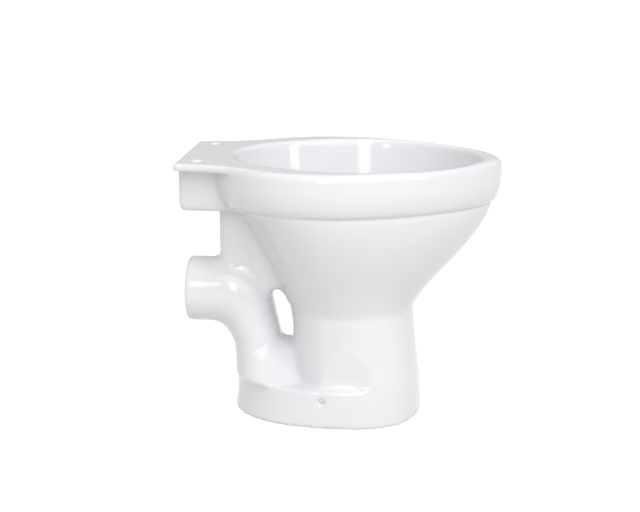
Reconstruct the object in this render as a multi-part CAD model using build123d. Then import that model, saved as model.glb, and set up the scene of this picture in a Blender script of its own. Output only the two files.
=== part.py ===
# Floor-standing wash-down toilet pan in glazed vitreous china, with a horizontal outlet.
# Frame: millimetres, +Z up, X = 0 is the plane of symmetry, -Y is the front of the pan,
# and the origin is under the middle of the pan on the floor that it stands on.
from build123d import *
from math import asin, cos, degrees, hypot, pi, radians, sin, sqrt, tan
import os

# Heights of the pan
rim_top = 400.0
deck_thickness = 12.0
rim_floor_top = 346.0
rim_crease = 334.0
neck_height = 166.0
trap_joint_height = 113.0
heel_joint_height = 90.0
foot_ledge = 58.0

# Wall thicknesses of the casting
china = 9.0
bowl_wall = 12.5
rim_inner_wall = 8.0
skirt_wall = 10.0

# Plan of the rim, taken from the plane of symmetry and from the origin
rim_half_width = 177.5
rim_nose = 240.5
rim_tail = 196.0
rim_widest = 25.0
rim_nose_fullness = -0.2
rim_edge_radius = 11.0
rim_crease_inset = 13.0

# Opening inside the rim
opening_half_width = 140.0
opening_nose = 208.0
opening_tail = 160.0
opening_widest = -35.0
opening_nose_fullness = -0.05
opening_edge_radius = 8.0

# Seat deck behind the rim
deck_back = 240.5
deck_half_width = 106.0
deck_side_clearance = 10.0
deck_flare_length = 42.0
deck_corner_radius = 7.0
deck_edge_radius = 5.0
deck_under_radius = 3.0
deck_joint_inset = 12.0
seat_hole_spacing = 155.0
seat_hole_diameter = 15.0
seat_hole_back = 207.5

# Neck that carries the bowl
neck_nose = 112.7
neck_tail = 81.5
neck_half_width = 94.0
neck_widest = -18.0
waist_depth = 6.0

# Pedestal and foot
foot_nose = 128.5
foot_tail = 168.0
foot_half_width = 118.0
foot_widest = -10.0
foot_fullness = 0.2
foot_waist_height = 30.0
foot_waist_tail = 163.6
ledge_tail = 166.0
panel_half_width = 102.0
panel_front = 57.0
panel_corner_radius = 22.0
panel_edge_radius = 7.0
heel_front = 30.0
heel_setback = 3.0
heel_step = 5.0
heel_fullness = 0.1
heel_wall = 12.0
hollow_nose = 106.0
hollow_tail = 52.0
ledge_thickness = 10.0
side_hole_diameter = 9.0
side_hole_back = 21.0
side_hole_height = 42.0

# Open slot between the neck and the riser
slot_low_radius = 10.6
slot_low_back = 84.9
slot_low_height = 116.5
slot_high_radius = 10.75
slot_high_back = 99.0
slot_high_height = 179.8

# Trap, riser, elbow and outlet
throat_back = 64.0
throat_back_height = 140.0
throat_front = 82.0
throat_front_height = 125.0
throat_half_width = 73.0
sump_reach_front = 140.0
trap_invert_height = 26.0
trap_half_width = 46.0
riser_half_width = 52.0
riser_front_lean = 11.8
riser_rear = 173.5
riser_rear_lean = 7.5
heel_clearance = 12.0
elbow_outer_radius = 57.0
elbow_inner_radius = 32.0
spigot_diameter = 102.0
spigot_height = 183.5
spigot_start = 212.0
spigot_end = 240.5
spigot_edge_radius = 2.5

# Flush inlet under the deck
horn_half_width = 67.0
horn_bottom = 320.0
horn_front = 150.0
horn_corner_radius = 9.0
flush_bore_diameter = 55.0
flush_bore_height = 354.0
flush_bore_depth = 28.5
flush_port_half_width = 44.0

# Hollow web that ties the riser to the bowl
web_half_thickness = 27.0
web_back = 188.5
web_front = 60.0
web_edge_radius = 16.0
web_hollow_bottom = 206.0

# Wash holes in the floor of the rim
wash_hole_diameter = 5.5
wash_hole_count = 24
wash_hole_lean = 30.0
wash_hole_setback = 13.0
wash_drill_length = 30.0

# Fineness of the curves, in steps along half an oval, half a tube section and the elbow
OVAL_STEPS = 8
TUBE_STEPS = 12
ELBOW_STEPS = 6
FAR = 900.0


def between(low, high, share):
    return low + (high - low) * share


def slab(low, high):
    """Everything between two heights."""
    return Pos(0, 0, (low + high) / 2) * Box(FAR, FAR, high - low)


def block(half_width, front, back, low, high):
    """Box across the plane of symmetry."""
    return Pos(0, (front + back) / 2, (low + high) / 2) * Box(2 * half_width, back - front, high - low)


def oval_half(start, end, half_width, widest, start_fullness, end_fullness, steps=OVAL_STEPS):
    """Points of the right half of an oval that runs between two (y, z) points."""
    length = hypot(end[0] - start[0], end[1] - start[1])
    along = ((end[0] - start[0]) / length, (end[1] - start[1]) / length)
    points = []
    for step in range(steps + 1):
        turn = pi * (step / steps - 0.5)
        reach = length * (1 - widest) if step > steps / 2 else length * widest
        fullness = end_fullness if step > steps / 2 else start_fullness
        distance = length * widest + reach * sin(turn)
        across = half_width * cos(turn) * (1 + fullness * sin(turn) ** 2)
        points.append((across, start[0] + along[0] * distance, start[1] + along[1] * distance))
    return points


def mirrored(points):
    return [(-x, y, z) for x, y, z in reversed(points)]


def ring(start, end, half_width, widest=0.5):
    """Oval face between two (y, z) points, square to the plane of symmetry."""
    right = oval_half(start, end, half_width, widest, 0.0, 0.0, TUBE_STEPS)
    return Face(Wire([Spline(right), Spline(mirrored(right))]))


def level_oval(height, nose, tail, half_width, widest, nose_fullness=0.0, tail_fullness=0.0):
    """Horizontal egg-shaped face from nose, in front of the origin, to tail, behind it."""
    share = (nose + widest) / (nose + tail)
    right = oval_half((-nose, height), (tail, height), half_width, share, nose_fullness, tail_fullness)
    return Face(Wire([Spline(right + mirrored(right)[1:-1], periodic=True)]))


def arc_point(centre, radius, angle):
    return (centre[0] + radius * cos(radians(angle)), centre[1] + radius * sin(radians(angle)))


# Rim

def rim_oval(height, inset=0.0):
    return level_oval(
        height,
        rim_nose - inset,
        rim_tail - inset,
        rim_half_width - inset,
        rim_widest,
        rim_nose_fullness,
    )


def opening_oval(height, outset=0.0):
    return level_oval(
        height,
        opening_nose + outset,
        opening_tail + outset,
        opening_half_width + outset,
        opening_widest,
        opening_nose_fullness,
    )


def rim_form():
    """Outer form of the rim: a barrelled skirt that turns in to the crease."""
    skirt_shape = [(0.0, 1.0), (0.08, 0.6), (0.2, 0.33), (0.38, 0.1), (0.6, 0.0), (0.8, 0.0), (1.0, 0.0)]
    sections = []
    for up, turned_in in skirt_shape:
        sections.append(rim_oval(between(rim_crease, rim_top, up), rim_crease_inset * turned_in))
    form = loft(sections)
    return fillet(form.faces().sort_by(Axis.Z)[-1].edges(), rim_edge_radius)


def opening_form():
    return extrude(opening_oval(rim_crease), rim_top - rim_crease)


def make_rim_ring(rim, deck):
    """Hollow rim: a roof and two walls, open below over the wash ring."""
    mouth = slab(rim_floor_top, rim_top) - opening_form()
    mouth = fillet(mouth.faces().sort_by(Axis.Z)[-1].inner_wires()[0].edges(), opening_edge_radius)
    channel_top = rim_top - deck_thickness
    channel_height = channel_top - rim_floor_top
    channel = extrude(rim_oval(rim_floor_top, china), channel_height)
    channel -= extrude(opening_oval(rim_floor_top, rim_inner_wall), channel_height)
    port_front = opening_tail + rim_inner_wall + china
    port = block(flush_port_half_width, port_front, rim_tail + 1, rim_floor_top, channel_top)
    return (rim & mouth) - channel - port - deck


def wash_hole(index):
    """Leaning drill through the floor of the rim, towards the middle of the basin."""
    middle_of_floor = (rim_crease + rim_floor_top) / 2
    loop = opening_oval(middle_of_floor, wash_hole_setback).outer_wire()
    start = loop @ ((index + 0.5) / wash_hole_count)
    inward = Vector(0, (opening_tail - opening_nose) / 2, middle_of_floor) - start
    heading = inward.normalized() * tan(radians(wash_hole_lean)) - Vector(0, 0, 1)
    return Plane(start, z_dir=heading) * Cylinder(wash_hole_diameter / 2, wash_drill_length)


def make_wash_ring(rim):
    """Floor of the hollow rim, which overhangs the basin and carries the wash holes."""
    floor = (rim & slab(rim_crease, rim_floor_top)) - opening_form()
    return floor - [wash_hole(index) for index in range(wash_hole_count)]


# Deck, flush horn and web

def rim_side(back):
    """Half width of the rim at a distance behind the origin, behind its widest place."""
    return rim_half_width * sqrt(1 - ((back - rim_widest) / (rim_tail - rim_widest)) ** 2)


def rim_back(side):
    """Distance behind the origin at which the rim has narrowed to a half width."""
    return rim_widest + (rim_tail - rim_widest) * sqrt(1 - (side / rim_half_width) ** 2)


def deck_plate():
    """Plate that flares out of the sides of the rim and carries the seat."""
    side_front = rim_back(deck_half_width) + deck_side_clearance
    flare_front = side_front - deck_flare_length
    flare_half_width = rim_side(flare_front) - rim_edge_radius
    rear = Line((-deck_half_width, deck_back), (deck_half_width, deck_back))
    side = Line((deck_half_width, deck_back), (deck_half_width, side_front))
    flare = Spline(
        [(deck_half_width, side_front), (flare_half_width, flare_front)],
        tangents=[(0, -1), (1, -1)],
    )
    front = Line((flare_half_width, flare_front), (-flare_half_width, flare_front))
    outline = Wire([rear, side, flare, front, flare.mirror(Plane.YZ), side.mirror(Plane.YZ)])
    plate = extrude(Pos(0, 0, rim_top - deck_thickness) * Face(outline), deck_thickness, dir=(0, 0, 1))
    corners = plate.edges().filter_by(Axis.Z).group_by(Axis.Y)[-1]
    plate = fillet(corners, deck_corner_radius)
    top_edges = plate.faces().sort_by(Axis.Z)[-1].edges().sort_by(Axis.Y)[1:]
    plate = fillet(top_edges, deck_edge_radius)
    under_edges = plate.faces().sort_by(Axis.Z)[0].edges().sort_by(Axis.Y)[1:]
    return fillet(under_edges, deck_under_radius)


def make_seat_deck():
    deck = deck_plate() - extrude(rim_oval(rim_top - deck_thickness, deck_joint_inset), deck_thickness)
    drill = Cylinder(seat_hole_diameter / 2, 4 * deck_thickness)
    for side in (-1, 1):
        deck -= Pos(side * seat_hole_spacing / 2, seat_hole_back, rim_top) * drill
    return deck


def horn_block():
    horn = block(horn_half_width, horn_front, deck_back, horn_bottom, rim_top - deck_thickness)
    rear_edges = horn.edges().filter_by(Axis.Z).group_by(Axis.Y)[-1]
    low_edges = horn.edges().group_by(Axis.Z)[0].filter_by(Axis.Y)
    low_rear_edge = horn.edges().group_by(Axis.Z)[0].filter_by(Axis.X).sort_by(Axis.Y)[-1:]
    return fillet(rear_edges + low_edges + low_rear_edge, horn_corner_radius)


def make_inlet_horn(rim, bowl):
    """Socket for the flush pipe, with the chamber that feeds the hollow rim."""
    chamber = block(
        horn_half_width - skirt_wall,
        horn_front + skirt_wall,
        deck_back - flush_bore_depth,
        horn_bottom + china,
        rim_top - deck_thickness,
    )
    bore = Rot(90, 0, 0) * Cylinder(flush_bore_diameter / 2, 2 * flush_bore_depth + 1)
    return horn_block() - rim - bowl - chamber - Pos(0, deck_back, flush_bore_height) * bore


def web_plate(inset, low, high):
    plate = block(web_half_thickness - inset, web_front, web_back - inset, low, high)
    return fillet(plate.edges().filter_by(Axis.Z).group_by(Axis.Y)[-1], web_edge_radius - inset)


def make_back_web(bowl, column, riser):
    """Hollow web over the slot, between the bowl, the elbow and the flush horn."""
    web = web_plate(0.0, slot_high_height, rim_crease) - web_plate(china, web_hollow_bottom, rim_crease)
    slot_top = Rot(0, 90, 0) * Cylinder(slot_high_radius, 4 * web_half_thickness)
    web -= Pos(0, slot_high_back, slot_high_height) * slot_top
    return web - bowl - column - riser - horn_block()


# Bowl

def bowl_form(inner=False):
    """Bowl between the neck and the crease, or the basin inside its wall."""
    shape = [
        (0.0, 0.0, 0.0, 0.0),
        (0.156, 0.129, 0.12, 0.14),
        (0.39, 0.417, 0.26, 0.42),
        (0.62, 0.70, 0.435, 0.70),
        (0.85, 0.916, 0.66, 0.915),
        (1.0, 1.0, 1.0, 1.0),
    ]
    sections = []
    for up, nose, tail, side in shape:
        wall = between(bowl_wall, china, up) if inner else 0.0
        sections.append(
            level_oval(
                between(neck_height, rim_crease, up),
                between(neck_nose, rim_nose - rim_crease_inset, nose) - wall,
                between(neck_tail, rim_tail - rim_crease_inset, tail) - wall,
                between(neck_half_width, rim_half_width - rim_crease_inset, side) - wall,
                between(neck_widest, rim_widest, up),
                rim_nose_fullness * up,
            )
        )
    return loft(sections)


# Trap tube

def riser_front(height, inset=0.0):
    """Front face of the riser, which leans back from the slot."""
    slope = radians(riser_front_lean)
    return slot_low_back + slot_low_radius + (height - slot_low_height) * tan(slope) + inset / cos(slope)


def riser_back(height, inset=0.0):
    """Rear face of the riser below the elbow."""
    slope = radians(riser_rear_lean)
    return riser_rear + (height - trap_joint_height) * tan(slope) - inset / cos(slope)


def neck_rings(inset):
    """Sections between the bottom of the basin and the trap."""
    grow = china - inset
    nose = neck_nose - bowl_wall + grow
    tail = neck_tail - bowl_wall + grow
    share = (tail - neck_widest) / (nose + tail)
    mouth = ring((tail, neck_height), (-nose, neck_height), neck_half_width - bowl_wall + grow, share)
    throat_rear = (throat_back + grow, throat_back_height)
    throat_nose = (-throat_front - grow, throat_front_height)
    return [mouth, ring(throat_rear, throat_nose, throat_half_width + grow)]


def bend_rings(inset):
    """Sections of the water-holding bend, each from its crown to its invert."""
    grow = china - inset
    centre = (slot_low_back, slot_low_height)
    drop = slot_low_height - trap_invert_height + grow
    reach_back = riser_back(heel_joint_height, heel_clearance) - slot_low_back + grow
    reach_front = sump_reach_front + grow
    narrow = riser_half_width - china
    stations = [
        (180, 198, between(trap_half_width, throat_half_width, 0.6), reach_front),
        (225, 236, between(trap_half_width, throat_half_width, 0.22), reach_front),
        (270, 270, trap_half_width, reach_front),
        (312, 308, narrow, reach_back),
        (336, 334, narrow, reach_back),
    ]
    sections = []
    for crown_angle, invert_angle, half_width, reach in stations:
        crown = arc_point(centre, slot_low_radius + inset, crown_angle)
        invert_y = centre[0] + reach * cos(radians(invert_angle))
        invert_z = centre[1] + drop * sin(radians(invert_angle))
        sections.append(ring(crown, (invert_y, invert_z), half_width + grow))
    return sections


def elbow_rings(inset):
    """Sections of the riser and elbow, from the level joint round to the outlet."""
    spigot_radius = spigot_diameter / 2
    lean = riser_front_lean
    outer_height = spigot_height + spigot_radius - elbow_outer_radius
    inner_height = spigot_height - spigot_radius - elbow_inner_radius
    outer_back = riser_front(outer_height) + elbow_outer_radius / cos(radians(lean))
    inner_back = riser_back(inner_height) + elbow_inner_radius / cos(radians(riser_rear_lean))
    first_turn = degrees(asin((trap_joint_height - inner_height) / (elbow_inner_radius + inset)))
    straight = outer_height - trap_joint_height + elbow_outer_radius * sin(radians(lean))
    arc = radians(90 - lean) * elbow_outer_radius
    sections = []
    for step in range(ELBOW_STEPS + 1):
        share = step / ELBOW_STEPS
        reached = share * (straight + arc)
        if reached < straight:
            outer = (riser_front(trap_joint_height + reached, inset), trap_joint_height + reached)
        else:
            turn = between(lean, 90, (reached - straight) / arc)
            outer = arc_point((outer_back, outer_height), elbow_outer_radius - inset, 180 - turn)
        inner_turn = between(first_turn, 90, share)
        inner = arc_point((inner_back, inner_height), elbow_inner_radius + inset, 180 - inner_turn)
        half_width = between(riser_half_width, spigot_radius, share) - inset
        sections.append(ring(outer, inner, half_width))
    fan_steps = ELBOW_STEPS // 2
    for step in range(1, fan_steps + 1):
        share = step / fan_steps
        outer = (between(outer_back, spigot_start, share), spigot_height + spigot_radius - inset)
        inner = (between(inner_back, spigot_start, share), spigot_height - spigot_radius + inset)
        sections.append(ring(outer, inner, spigot_radius - inset))
    return sections


def trap_form(inset=0.0):
    """Trap tube from the bottom of the basin to the level joint under the riser."""
    return loft(neck_rings(inset) + bend_rings(inset) + elbow_rings(inset)[:1])


def riser_form(inset=0.0):
    """Riser and elbow up to the outlet spigot, from a little below the joint with the trap."""
    return loft(bend_rings(inset)[-1:] + elbow_rings(inset))


def make_riser_elbow(riser):
    return (riser & slab(trap_joint_height, rim_top)) - riser_form(china)


def make_trap_bend(trap, heel, passage):
    bend = trap & slab(0, trap_joint_height)
    return bend + (heel & slab(heel_joint_height, trap_joint_height)) - passage


def make_outlet_spigot():
    spigot = Cylinder(spigot_diameter / 2, spigot_end - spigot_start)
    spigot = fillet(spigot.edges().sort_by(Axis.Z)[:1], spigot_edge_radius)
    spigot -= Cylinder(spigot_diameter / 2 - china, spigot_end - spigot_start)
    return Pos(0, (spigot_start + spigot_end) / 2, spigot_height) * Rot(90, 0, 0) * spigot


# Pedestal and foot

def side_panel_cuts():
    """Shallow recesses that leave a ledge on both sides of the foot."""
    tool = Pos(0, 0, 0) * Box(FAR / 2, FAR / 2, FAR / 2, align=(Align.MIN, Align.MIN, Align.MIN))
    corner = tool.edges().filter_by(Axis.X).sort_by(Axis.Y)[:2].sort_by(Axis.Z)[:1]
    tool = fillet(corner, panel_corner_radius)
    tool = fillet(tool.faces().sort_by(Axis.X)[0].edges(), panel_edge_radius)
    right = Pos(panel_half_width, -panel_front, foot_ledge) * tool
    return [right, right.mirror(Plane.YZ)]


def column_form():
    """Front column of the pedestal, waisted from the foot up to the neck."""
    shape = [
        (0.0, 1.0, 1.0, 1.0),
        (0.35, 0.69, 0.78, 1.0),
        (0.6, 0.36, 0.5, 1.0),
        (0.82, 0.12, 0.22, 0.8),
        (1.0, 0.0, 0.0, 0.0),
    ]
    sections = []
    for up, nose, side, waist in shape:
        sections.append(
            level_oval(
                between(0.0, neck_height, up),
                between(neck_nose, foot_nose, nose),
                neck_tail - waist_depth * waist,
                between(neck_half_width, foot_half_width, side),
                between(neck_widest, foot_widest, nose),
                foot_fullness * nose,
            )
        )
    return loft(sections)


def heel_oval(up, forward, spread, wall=0.0):
    """Level section of the heel, or of the space inside its wall."""
    front = between(heel_front, riser_front(trap_joint_height) + heel_setback, forward)
    back = between(ledge_tail, riser_back(trap_joint_height) - heel_setback, up ** 2)
    half_width = between(riser_half_width - heel_setback, panel_half_width - heel_step, spread)
    return level_oval(
        between(foot_ledge, trap_joint_height, up),
        -front - wall,
        back - wall,
        half_width - wall,
        (front + back) / 2,
        heel_fullness,
        heel_fullness,
    )


def heel_form():
    """Rear of the pedestal, which spreads from the riser down to the foot."""
    shape = [(0.0, 0.0, 1.0), (0.22, 0.3, 0.67), (0.44, 0.55, 0.36), (0.72, 0.84, 0.13), (1.0, 1.0, 0.0)]
    return loft([heel_oval(up, forward, spread) for up, forward, spread in shape])


def skirt_hollow():
    """Space inside the pedestal, open below through the ledge of the foot."""
    below = -ledge_thickness / (trap_joint_height - foot_ledge)
    shape = [(below, 0.0, 1.0), (0.0, 0.0, 1.0), (0.22, 0.3, 0.67), (0.44, 0.55, 0.36)]
    rear = loft([heel_oval(up, forward, spread, heel_wall) for up, forward, spread in shape])
    low = foot_ledge - ledge_thickness
    foot_side = panel_half_width - skirt_wall
    neck_side = neck_half_width - skirt_wall
    front = loft(
        [
            level_oval(low, hollow_nose, hollow_tail, foot_side, foot_widest),
            level_oval(trap_joint_height, hollow_nose, hollow_tail, neck_side, neck_widest),
        ]
    )
    return front + rear


def make_pedestal_skirt(column, heel, trap, hollow):
    skirt = (column & slab(foot_ledge, trap_joint_height)) + (heel & slab(foot_ledge, heel_joint_height))
    return skirt - hollow - trap


def foot_oval(height, tail, spread, wall=0.0):
    return level_oval(
        height,
        between(neck_nose, foot_nose, between(0.69, 1.0, spread)) - wall,
        tail - wall,
        between(neck_half_width, foot_half_width, between(0.78, 1.0, spread)) - wall,
        between(neck_widest, foot_widest, between(0.69, 1.0, spread)),
        foot_fullness,
        foot_fullness,
    )


def make_foot_ring(trap, hollow):
    """Flange that the pan stands on, open underneath, with a fixing hole on each side."""
    levels = [(0.0, foot_tail, 1.0), (foot_waist_height, foot_waist_tail, 0.48), (foot_ledge, ledge_tail, 0.0)]
    foot = loft([foot_oval(height, tail, spread) for height, tail, spread in levels])
    space = loft([foot_oval(height, tail, spread, skirt_wall) for height, tail, spread in levels])
    foot -= space & slab(0.0, foot_ledge - ledge_thickness)
    drill = Rot(0, 90, 0) * Cylinder(side_hole_diameter / 2, FAR)
    return foot - hollow - trap - Pos(0, side_hole_back, side_hole_height) * drill


def main():
    rim = rim_form()
    bowl = bowl_form()
    column = column_form() - side_panel_cuts()
    heel = heel_form()
    trap = trap_form()
    riser = riser_form()
    passage = trap_form(china)
    hollow = skirt_hollow()
    parts = {
        "rim_ring": make_rim_ring(rim, make_seat_deck()),
        "wash_ring": make_wash_ring(rim),
        "seat_deck": make_seat_deck(),
        "inlet_horn": make_inlet_horn(rim, bowl),
        "bowl": bowl - bowl_form(inner=True),
        "neck": (column & slab(trap_joint_height, neck_height)) - passage,
        "trap_bend": make_trap_bend(trap, heel, passage),
        "riser_elbow": make_riser_elbow(riser),
        "outlet_spigot": make_outlet_spigot(),
        "back_web": make_back_web(bowl, column, riser),
        "pedestal_skirt": make_pedestal_skirt(column, heel, trap, hollow),
        "foot_ring": make_foot_ring(trap, hollow),
    }
    os.makedirs("parts", exist_ok=True)
    for name, part in parts.items():
        export_step(part, f"parts/{name}.step")


if __name__ == "__main__":
    main()
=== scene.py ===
# %% [markdown]
# # A glazed china toilet pan
# The real pan is cast in a few plaster moulds, stuck together while the clay is wet, sponged smooth at
# every join, glazed and fired. That leaves one body with soft corners under a shiny white skin. This
# script dresses the exact model of the pan in that skin, and gives it a studio to stand in.

# %% Load the frame
import bmesh
import bpy
from math import exp, radians
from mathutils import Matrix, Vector
import numpy as np


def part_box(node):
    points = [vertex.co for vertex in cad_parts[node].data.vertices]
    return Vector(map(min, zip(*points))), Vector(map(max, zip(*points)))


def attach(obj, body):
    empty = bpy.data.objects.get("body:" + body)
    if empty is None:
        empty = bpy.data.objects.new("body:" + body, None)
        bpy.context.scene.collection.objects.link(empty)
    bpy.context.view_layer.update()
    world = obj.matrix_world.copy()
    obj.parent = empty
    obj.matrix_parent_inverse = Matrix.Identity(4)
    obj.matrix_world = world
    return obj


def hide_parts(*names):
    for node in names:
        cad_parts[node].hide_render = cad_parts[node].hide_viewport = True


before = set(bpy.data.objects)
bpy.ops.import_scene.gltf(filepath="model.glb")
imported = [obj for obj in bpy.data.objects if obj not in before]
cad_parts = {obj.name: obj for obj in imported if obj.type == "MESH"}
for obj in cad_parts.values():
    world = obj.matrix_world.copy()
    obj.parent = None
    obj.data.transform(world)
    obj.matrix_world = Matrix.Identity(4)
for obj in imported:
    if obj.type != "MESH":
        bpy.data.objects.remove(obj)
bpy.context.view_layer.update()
MM = 0.001
print("nodes:", sorted(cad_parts))

# %% [markdown]
# ## The cast body
# The clay parts of a real pan can't be told apart once they are stuck together, so the exact solids of
# the model are welded into one skin here. A boolean union would do that, but it keeps a knife-sharp
# line at each join. A voxel remesh also makes one closed skin of them, and leaves an even mesh of small
# squares that can be smoothed like wet clay, which is why it was chosen. The squares are small enough
# to keep the rounded lip of the rim.

# %% Names of the solids in each casting
RIM_NODES = ("rim_ring", "wash_ring", "seat_deck", "inlet_horn")
BODY_NODES = (
    "bowl", "neck", "trap_bend", "riser_elbow", "outlet_spigot", "back_web", "pedestal_skirt", "foot_ring",
)
print(len(RIM_NODES), "solids in the rim,", len(BODY_NODES), "in the body")

# %% [markdown]
# ## Wings of the seat deck
# On the real pan the deck doesn't end square at the rim: its sides spread and die into the rim in one
# long curve, and the thin lower edge of the deck runs out with them. A spin or a lofted surface could
# follow that curve, but a few points in plan are enough at this size. They are extruded to the deck's
# thickness, and the outside edges are rounded with a bevel, so the wing ends as the deck's own edge does.

# %% Plan of one wing, in millimetres from the middle of the pan
WING_OUTSIDE = [(106, 232), (108.5, 206), (114, 181), (122, 158), (134, 133), (148, 108)]
WING_INSIDE = [(132, 106), (110, 134), (90, 160), (90, 232)]
DECK_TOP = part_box("seat_deck")[1].z
WING_THICKNESS = 12 * MM
WING_EDGE = 4 * MM
TOUCH = 0.1 * MM
print("wing from Y", WING_OUTSIDE[-1][1], "to", WING_OUTSIDE[0][1], "mm")


# %% Round the outside of a wing and mirror it
def outside_edges(wing):
    """The level edges along the outside curve."""
    least_x = min(x for x, y in WING_OUTSIDE) * MM - TOUCH
    least_y = min(y for x, y in WING_OUTSIDE) * MM - TOUCH
    chosen = []
    for edge in wing.edges:
        level = abs(edge.verts[0].co.z - edge.verts[1].co.z) < TOUCH
        if level and all(point.co.x > least_x and point.co.y > least_y for point in edge.verts):
            chosen.append(edge)
    return chosen


def deck_wings():
    """Both wings as one bmesh, between the underside and the top of the deck."""
    wing = bmesh.new()
    underside = DECK_TOP - WING_THICKNESS
    plan = [wing.verts.new((x * MM, y * MM, underside)) for x, y in WING_OUTSIDE + WING_INSIDE]
    base = wing.faces.new(plan)
    raised = bmesh.ops.extrude_face_region(wing, geom=[base])["geom"]
    top = [item for item in raised if isinstance(item, bmesh.types.BMVert)]
    bmesh.ops.translate(wing, verts=top, vec=(0, 0, WING_THICKNESS))
    bmesh.ops.recalc_face_normals(wing, faces=wing.faces)
    bmesh.ops.bevel(
        wing,
        geom=outside_edges(wing),
        offset=WING_EDGE,
        offset_type="OFFSET",
        affect="EDGES",
        segments=3,
        profile=0.5,
        material=-1,
    )
    bmesh.ops.mirror(wing, geom=wing.verts[:] + wing.edges[:] + wing.faces[:], axis="X", merge_dist=0)
    bmesh.ops.recalc_face_normals(wing, faces=wing.faces)
    print("wings:", len(wing.faces), "faces")
    return wing


# %% [markdown]
# ## The weld
# On the real pan slip holds the castings together and fills the line between them. Here the merged copies
# of the solids and the wings go into one mesh, and the remesh closes over all of it. The rim gets smaller
# squares than the body, because its lip is rounder and closer to the eye.

# %% Copy the solids into one mesh
RIM_SKIN = 2.5 * MM
BODY_SKIN = 3.5 * MM
SAME_POINT = 0.01 * MM


def merged_copy(names):
    """One bmesh with a merged copy of each named solid."""
    clay = bmesh.new()
    for name in names:
        clay.from_mesh(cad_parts[name].data)
    bmesh.ops.remove_doubles(clay, verts=clay.verts, dist=SAME_POINT)
    return clay


def as_object(clay, name):
    """A new object with the bmesh as its mesh, at the origin."""
    mesh = bpy.data.meshes.new(name)
    clay.to_mesh(mesh)
    clay.free()
    thing = bpy.data.objects.new(name, mesh)
    bpy.context.scene.collection.objects.link(thing)
    return thing


# %% Weld the copies into one skin
def remeshed(thing, size):
    """The object's mesh, closed over and rebuilt as squares of one size."""
    remesh = thing.modifiers.new("skin", "REMESH")
    remesh.mode = "VOXEL"
    remesh.voxel_size = size
    remesh.adaptivity = 0.0
    depsgraph = bpy.context.evaluated_depsgraph_get()
    mesh = bpy.data.meshes.new_from_object(thing.evaluated_get(depsgraph))
    bpy.data.objects.remove(thing)
    return mesh


def welded(size):
    """All the solids and the deck's wings in one skin."""
    clay = merged_copy(RIM_NODES + BODY_NODES)
    wings = as_object(deck_wings(), "wings")
    clay.from_mesh(wings.data)
    bpy.data.objects.remove(wings)
    skin = remeshed(as_object(clay, "welded"), size)
    print("skin of", size, "m:", len(skin.vertices), "points,", len(skin.polygons), "faces")
    return skin


# %% [markdown]
# ## Sponged joins
# A caster draws a wet sponge along every inner corner, and the glaze then pools there, so the corners
# between the web, the bowl, the elbow and the horn are hollow curves. A bevel needs clean edges, which a
# remesh doesn't have. Smoothing only the points that lie in a hollow corner, and a band beside them, gives
# the same curve and leaves the outer edges alone.

# %% Find the hollow corners
def hollowness(clay):
    """How far each point lies below the middle of its neighbours, along its normal."""
    clay.verts.ensure_lookup_table()
    points = np.array([point.co for point in clay.verts])
    normals = np.array([point.normal for point in clay.verts])
    ends = np.array([[edge.verts[0].index, edge.verts[1].index] for edge in clay.edges])
    total = np.zeros_like(points)
    count = np.zeros(len(points))
    for near, far in ((0, 1), (1, 0)):
        np.add.at(total, ends[:, near], points[ends[:, far]])
        np.add.at(count, ends[:, near], 1)
    return ((total / count[:, None] - points) * normals).sum(axis=1), points, ends


def widened(chosen, ends, rings):
    """The chosen points and those up to a number of edges away."""
    for _ in range(rings):
        reached = chosen.copy()
        reached[ends[chosen[ends[:, 0]], 1]] = True
        reached[ends[chosen[ends[:, 1]], 0]] = True
        chosen = reached
    return chosen


# %% Strokes of the sponge
def smooth(clay, chosen, times):
    """Moves each chosen point halfway to the middle of its neighbours, a number of times."""
    points = [point for point, take in zip(clay.verts, chosen) if take]
    for _ in range(times):
        bmesh.ops.smooth_vert(
            clay, verts=points, factor=0.5, use_axis_x=True, use_axis_y=True, use_axis_z=True
        )


def strokes(reach, size):
    """How many rounds of smoothing carry a change about this far across the squares."""
    return round((reach / size) ** 2)


def hollow_of(radius, size):
    """The hollowness of a point in a corner of this radius."""
    return size ** 2 / (4 * radius)


# %% Places that the sponge reaches, and how far it softens them
TIGHT_CORNER = 16 * MM
OPEN_CORNER = 50 * MM
JOIN_BACK = 40 * MM
JOIN_HEIGHTS = (180 * MM, 336 * MM)
JOIN_BAND = 14 * MM
JOIN_REACH = 25 * MM
SLOT_BACKS = (22 * MM, 80 * MM)
SLOT_HEIGHTS = (120 * MM, 215 * MM)
SLOT_SIDE = 70 * MM
SLOT_REACH = 12 * MM
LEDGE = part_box("foot_ring")[1].z
LEDGE_BACK = 105 * MM
LEDGE_BAND = 16 * MM
LEDGE_REACH = 5 * MM
print("ledge of the foot at Z", round(LEDGE, 4))


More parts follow.
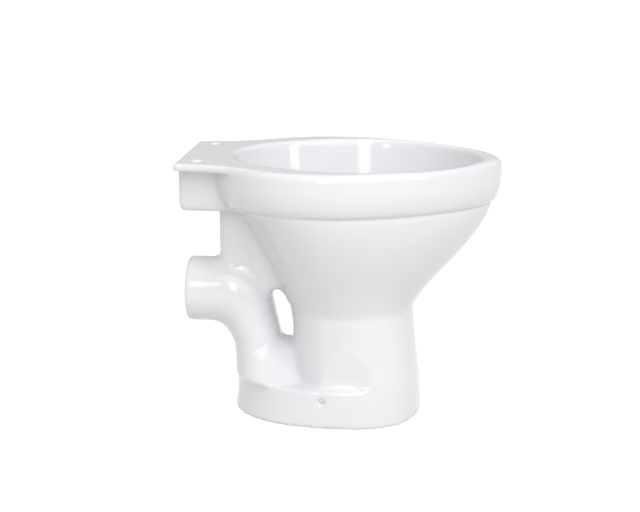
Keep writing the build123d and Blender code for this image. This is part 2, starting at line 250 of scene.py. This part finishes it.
# %% Sponge the skin
def sponge(skin, size):
    """The skin with its hollow corners rounded and the squares' small steps smoothed away."""
    clay = bmesh.new()
    clay.from_mesh(skin)
    everywhere = np.ones(len(clay.verts), dtype=bool)
    smooth(clay, everywhere, 3)
    clay.normal_update()
    hollow, points, ends = hollowness(clay)
    x, y, z = points.T
    joins = (y > JOIN_BACK) & (z > JOIN_HEIGHTS[0]) & (z < JOIN_HEIGHTS[1])
    join = joins & (hollow > hollow_of(OPEN_CORNER, size))
    slot = (y > SLOT_BACKS[0]) & (y < SLOT_BACKS[1]) & (abs(x) < SLOT_SIDE)
    slot &= (z > SLOT_HEIGHTS[0]) & (z < SLOT_HEIGHTS[1])
    ledge = (y > LEDGE_BACK) & (abs(z - LEDGE) < LEDGE_BAND)
    sharp = hollow > hollow_of(TIGHT_CORNER, size)
    smooth(clay, widened(join, ends, round(JOIN_BAND / size)), strokes(JOIN_REACH, size))
    smooth(clay, slot, strokes(SLOT_REACH, size))
    smooth(clay, ledge, strokes(LEDGE_REACH, size))
    smooth(clay, widened(sharp & ~join & ~ledge, ends, 1), 5)
    smooth(clay, everywhere, 2)
    print("points in sharp corners:", int(sharp.sum()), "and in the joins:", int(join.sum()))
    return clay


# %% [markdown]
# ## Draft of the opening and the crease under the rim
# The wall inside the rim leans in as it goes down, which lets the mould come out and turns the wall up
# to the light. Under the rim, where the two castings meet, the sponge leaves a shallow groove. A sculpt
# or a lattice could do both, but they are small moves of the skin's own points along simple rules, so
# they are made here, after the weld. The rules need to know how far out a point lies, and an egg with a
# short front half and a long back half follows the opening closely enough to say that.

# %% Sizes of the egg, the draft and the groove
RIM_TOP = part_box("rim_ring")[1].z
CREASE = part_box("bowl")[1].z
EGG_MIDDLE = -35 * MM
EGG_WIDTH = 140 * MM
EGG_FRONT = 173 * MM
EGG_BACK = 195 * MM
WALL = (0.9, 1.075)
WALL_FADE = 0.013
WALL_TOP = RIM_TOP - 8 * MM
WALL_FOOT = CREASE - 2 * MM
DRAFT = 0.2
GROOVE_DEPTH = 2.2 * MM
GROOVE_HALF = 3.2 * MM
HORN_FRONT = 150 * MM
HORN_SIDE = 84 * MM
print("rim top at Z", round(RIM_TOP, 4), "and crease at Z", round(CREASE, 4))


# %% Lean the opening and press the groove
def form_rim(clay):
    """Leans the opening's wall and presses the groove at the crease."""
    clay.normal_update()
    leaned = pressed = 0
    for point in clay.verts:
        x, y, z = point.co
        reach = Vector((x, y - EGG_MIDDLE, 0))
        half_length = EGG_FRONT if y < EGG_MIDDLE else EGG_BACK
        out = ((x / EGG_WIDTH) ** 2 + (reach.y / half_length) ** 2) ** 0.5
        inward = point.normal.dot(reach) < 0
        if WALL_FOOT < z < WALL_TOP and WALL[0] < out < WALL[1] and inward:
            fade = min(1.0, (WALL[1] - out) / WALL_FADE)
            point.co -= reach.normalized() * (WALL_TOP - z) * DRAFT * fade
            leaned += 1
        horn = y > HORN_FRONT and abs(x) < HORN_SIDE
        if abs(z - CREASE) < 3 * GROOVE_HALF and out > 1.0 and not inward and not horn:
            depth = GROOVE_DEPTH * exp(-(((z - CREASE) / GROOVE_HALF) ** 2))
            point.co -= Vector((point.normal.x, point.normal.y, 0)).normalized() * depth
            pressed += 1
    print("leaned", leaned, "points and pressed", pressed)
    return clay


# %% [markdown]
# ## Two castings
# The rim of a pan is a casting of its own, stuck on the bowl along the dark crease under the rim. A
# boolean could part the skin there, but one level cut is all it takes, so each casting keeps the skin on
# its own side of a plane, and the cut is closed with a flat face that nobody sees. The edges of that face
# are marked sharp, so that it doesn't bend the shading of the walls beside it.

# %% Cut the skin at the crease
def casting(name, size, height, keep_above):
    """The part of the skin above or below a level plane, closed along the cut."""
    half = form_rim(sponge(welded(size), size))
    cut = bmesh.ops.bisect_plane(
        half,
        geom=half.verts[:] + half.edges[:] + half.faces[:],
        plane_co=(0, 0, height),
        plane_no=(0, 0, 1),
        clear_inner=keep_above,
        clear_outer=not keep_above,
    )
    edges = [item for item in cut["geom_cut"] if isinstance(item, bmesh.types.BMEdge)]
    for edge in edges:
        edge.smooth = False
    bmesh.ops.triangle_fill(half, edges=edges, use_beauty=True, normal=(0, 0, -1 if keep_above else 1))
    for face in half.faces:
        face.smooth = True
    made = as_object(half, name)
    print(name, "faces:", len(made.data.polygons))
    return made


# %% Put the castings in place of the solids
rim_casting = casting("rim_casting", RIM_SKIN, CREASE, True)
body_casting = casting("body_casting", BODY_SKIN, CREASE, False)
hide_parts(*RIM_NODES)
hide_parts(*BODY_NODES)
for piece in (rim_casting, body_casting):
    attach(piece, "root")

# %% [markdown]
# ## Waves in the glaze
# Fired glaze is glass over white clay. It is very shiny, but never quite flat: it has slow waves where it
# ran, with a finer ripple on top. Real waves in the mesh would need far smaller squares, so they are a
# bump made of soft noise. The same place on the pan also gives a slow change of tone, since the glaze is
# thicker in some parts than in others. Both come from one node group, which reads the object's own
# coordinates, so they stay put when the pan is moved.

# %% Helpers for node groups
def pattern(name, outputs):
    """An empty node group that reads a place on the pan, with that place and its output sockets."""
    tree = bpy.data.node_groups.new(name, "ShaderNodeTree")
    tree.interface.new_socket(name="Place", in_out="INPUT", socket_type="NodeSocketVector")
    for label in outputs:
        tree.interface.new_socket(name=label, in_out="OUTPUT", socket_type="NodeSocketFloat")
    place = tree.nodes.new("NodeGroupInput").outputs["Place"]
    return tree, place, tree.nodes.new("NodeGroupOutput").inputs


def feed(tree, socket, value):
    """Links a socket to another one, or writes a plain value on it."""
    if isinstance(value, bpy.types.NodeSocket):
        tree.links.new(value, socket)
    else:
        socket.default_value = value


def maths(tree, operation, first, second):
    """One maths node, fed by sockets or plain numbers."""
    node = tree.nodes.new("ShaderNodeMath")
    node.operation = operation
    feed(tree, node.inputs[0], first)
    feed(tree, node.inputs[1], second)
    return node.outputs[0]


def noise(tree, place, scale, detail):
    """Soft noise at a place on the pan."""
    node = tree.nodes.new("ShaderNodeTexNoise")
    feed(tree, node.inputs["Scale"], scale)
    feed(tree, node.inputs["Detail"], detail)
    feed(tree, node.inputs["Vector"], place)
    return node.outputs["Fac"]


# %% Glaze waves
WAVE_SCALE = 9.0
RIPPLE_SCALE = 60.0
RIPPLE_SHARE = 0.12
TONE_SCALE = 3.5

waves, place, results = pattern("glaze_waves", ("Height", "Tone"))
slow_waves = noise(waves, place, WAVE_SCALE, 1.0)
ripple = maths(waves, "MULTIPLY", noise(waves, place, RIPPLE_SCALE, 2.0), RIPPLE_SHARE)
feed(waves, results["Height"], maths(waves, "ADD", slow_waves, ripple))
feed(waves, results["Tone"], noise(waves, place, TONE_SCALE, 3.0))
print("group:", waves.name)

# %% [markdown]
# ## Bare clay
# Before firing, the glaze is wiped off where the pan would stick to the kiln shelf or to a pipe: under the
# foot and at the end of the outlet. The clay shows there, warmer and dull, with a ragged border. Faces
# with a second material would give a border that follows the squares of the mesh, so a mask is used: a
# height and a depth on the object's coordinates, made ragged with fine noise.

# %% Mask of the bare clay
FOOT_WIPED = 1.6 * MM
OUTLET_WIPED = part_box("outlet_spigot")[1].y - 1.2 * MM
UNDER_THE_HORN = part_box("inlet_horn")[0].z - 20 * MM
RAGGED_SCALE = 120.0
RAGGED_HEIGHT = 2 * MM

bare, place, results = pattern("bare_clay", ("Mask",))
split = bare.nodes.new("ShaderNodeSeparateXYZ")
feed(bare, split.inputs[0], place)
around_zero = maths(bare, "SUBTRACT", noise(bare, place, RAGGED_SCALE, 2.0), 0.5)
ragged = maths(bare, "MULTIPLY", around_zero, RAGGED_HEIGHT)
under_foot = maths(bare, "LESS_THAN", maths(bare, "ADD", split.outputs["Z"], ragged), FOOT_WIPED)
past_end = maths(bare, "GREATER_THAN", maths(bare, "ADD", split.outputs["Y"], ragged), OUTLET_WIPED)
below_horn = maths(bare, "LESS_THAN", split.outputs["Z"], UNDER_THE_HORN)
outlet_end = maths(bare, "MULTIPLY", past_end, below_horn)
feed(bare, results["Mask"], maths(bare, "MAXIMUM", under_foot, outlet_end))
print("bare clay past Y", round(OUTLET_WIPED, 4), "and under the foot")

# %% [markdown]
# ## Glazed china
# White glaze isn't painted on clay: light goes into it and comes back from the clay below. At this size
# a plain white surface under a sharp reflection looks the same and renders faster, so the Principled
# shader gets the glaze's white, a low roughness and the index of glass. The two groups feed its colour,
# its roughness and its bump, and the bare clay takes over where its mask is 1.

# %% Colours and shine of the china
THIN_GLAZE = (0.80, 0.81, 0.83, 1)
THICK_GLAZE = (0.86, 0.865, 0.875, 1)
CLAY = (0.74, 0.70, 0.63, 1)
GLAZE_ROUGHNESS = 0.05
ROUGHNESS_RANGE = 0.05
CLAY_ROUGHNESS = 0.75
WAVE_STRENGTH = 0.35
WAVE_HEIGHT = 0.6 * MM


def blend(tree, share, low, high):
    """A colour between two others."""
    node = tree.nodes.new("ShaderNodeMix")
    node.data_type = "RGBA"
    feed(tree, node.inputs["Factor"], share)
    feed(tree, node.inputs["A"], low)
    feed(tree, node.inputs["B"], high)
    return node.outputs["Result"]


def laid_on(tree, group, where):
    """The outputs of a node group, read at a place."""
    node = tree.nodes.new("ShaderNodeGroup")
    node.node_tree = group
    feed(tree, node.inputs["Place"], where)
    return node.outputs


# %% The material of both castings
china = bpy.data.materials.new("glazed_china")
china.use_nodes = True
tree = china.node_tree
surface = tree.nodes["Principled BSDF"].inputs
surface["IOR"].default_value = 1.5
where = tree.nodes.new("ShaderNodeTexCoord").outputs["Object"]
wave = laid_on(tree, waves, where)
wiped = laid_on(tree, bare, where)["Mask"]
glaze = blend(tree, wave["Tone"], THIN_GLAZE, THICK_GLAZE)
feed(tree, surface["Base Color"], blend(tree, wiped, glaze, CLAY))
shine = maths(tree, "ADD", maths(tree, "MULTIPLY", wave["Tone"], ROUGHNESS_RANGE), GLAZE_ROUGHNESS)
dull = maths(tree, "MULTIPLY", wiped, CLAY_ROUGHNESS)
feed(tree, surface["Roughness"], maths(tree, "MAXIMUM", shine, dull))
bump = tree.nodes.new("ShaderNodeBump")
bump.inputs["Strength"].default_value = WAVE_STRENGTH
bump.inputs["Distance"].default_value = WAVE_HEIGHT
feed(tree, bump.inputs["Height"], wave["Height"])
feed(tree, surface["Normal"], bump.outputs["Normal"])
for piece in (rim_casting, body_casting):
    piece.data.materials.clear()
    piece.data.materials.append(china)
print("material:", china.name)

# %% [markdown]
# ## The studio floor
# The pan stands on a white floor that can't be told from the background. A brighter lamp would whiten the
# floor and burn out the pan with it, so the floor is a pale grey that glows a little for the camera and
# for reflections only. It lights the pan no more than grey paper would, and still takes its shadow.

# %% Floor
FLOOR_HALF = 40.0
PAPER = (0.6, 0.6, 0.6, 1)
PAPER_ROUGHNESS = 0.9
PAPER_GLOW = 0.72

floor_clay = bmesh.new()
bmesh.ops.create_grid(floor_clay, x_segments=1, y_segments=1, size=FLOOR_HALF)
floor = as_object(floor_clay, "floor")
paper = bpy.data.materials.new("studio_floor")
paper.use_nodes = True
tree = paper.node_tree
surface = tree.nodes["Principled BSDF"].inputs
surface["Base Color"].default_value = PAPER
surface["Roughness"].default_value = PAPER_ROUGHNESS
surface["Emission Color"].default_value = (1, 1, 1, 1)
rays = tree.nodes.new("ShaderNodeLightPath").outputs
seen = maths(tree, "MAXIMUM", rays["Is Camera Ray"], rays["Is Glossy Ray"])
feed(tree, surface["Emission Strength"], maths(tree, "MULTIPLY", seen, PAPER_GLOW))
floor.data.materials.append(paper)
print("floor:", 2 * FLOOR_HALF, "m wide")

# %% [markdown]
# ## The white room
# The walls of a photographer's cove throw soft light from all sides. The world does that here, at about
# half strength, and shows pure white to the camera, where a strength of 1 is white.

# %% World
ROOM_LIGHT = 0.53

world = bpy.data.worlds.new("studio")
bpy.context.scene.world = world
world.use_nodes = True
tree = world.node_tree
sky = tree.nodes["Background"].inputs
sky["Color"].default_value = (1, 1, 1, 1)
rays = tree.nodes.new("ShaderNodeLightPath").outputs
to_white = maths(tree, "MULTIPLY", rays["Is Camera Ray"], 1.0 - ROOM_LIGHT)
feed(tree, sky["Strength"], maths(tree, "ADD", to_white, ROOM_LIGHT))
print("room light:", ROOM_LIGHT)

# %% [markdown]
# ## Lamps
# Glaze shows its lamps as bright shapes, so their shapes matter as much as their light. A large soft lamp
# high on the camera's side and one overhead are too wide to leave a sharp mark, and light the pan evenly.
# Three narrow upright lamps leave the bright bands inside the bowl and along the outlet, and the small
# bright marks on the edge of the rim.

# %% Soft lamps
def softbox(name, place, target, wide, high, power):
    """A flat lamp that points at a spot."""
    lamp = bpy.data.lights.new(name, "AREA")
    lamp.shape = "RECTANGLE"
    lamp.size = wide
    lamp.size_y = high
    lamp.energy = power
    thing = bpy.data.objects.new(name, lamp)
    bpy.context.scene.collection.objects.link(thing)
    thing.location = place
    thing.rotation_euler = (Vector(target) - Vector(place)).to_track_quat("-Z", "Y").to_euler()
    print(name, "at", place, "of", power, "W")


PAN_LOW = (0, 0, 0.2)
PAN_MIDDLE = (0, 0, 0.3)
OUTLET = (0, 0.2, 0.3)
softbox("wide_key", (-3.6, -1.4, 3.6), PAN_LOW, wide=4.5, high=4.0, power=112.0)
softbox("overhead", (0.2, 0.2, 2.7), PAN_MIDDLE, wide=2.6, high=2.6, power=10.0)
softbox("strip_behind_camera", (-2.75, 0.02, 1.45), PAN_MIDDLE, wide=0.45, high=1.4, power=9.0)
softbox("strip_at_the_front", (-1.6, -2.15, 1.45), PAN_MIDDLE, wide=0.45, high=1.4, power=8.0)
softbox("strip_at_the_back", (-2.75, 0.9, 1.6), OUTLET, wide=0.34, high=0.8, power=4.5)

# %% [markdown]
# ## Camera
# The photograph looks at the side of the pan that lies towards -X, from a little above. A camera can be
# placed by eye, but this one was worked out: its place, turn and lens bring the outline of the pan's known
# sizes onto its outline in the photograph.

# %% Camera
LENS = 70.14
SENSOR = 36.0
CAMERA_PLACE = (-1.862, -0.1395, 0.7308)
LOOKS_DOWN = 14.72
LOOKS_ASIDE = 5.31

lens = bpy.data.cameras.new("camera")
lens.lens = LENS
lens.sensor_width = SENSOR
camera = bpy.data.objects.new("camera", lens)
bpy.context.scene.collection.objects.link(camera)
camera.location = CAMERA_PLACE
camera.rotation_euler = (radians(90 - LOOKS_DOWN), 0, radians(-90 + LOOKS_ASIDE))
bpy.context.scene.camera = camera
bpy.context.scene.view_settings.view_transform = "Standard"
print("camera at", CAMERA_PLACE)
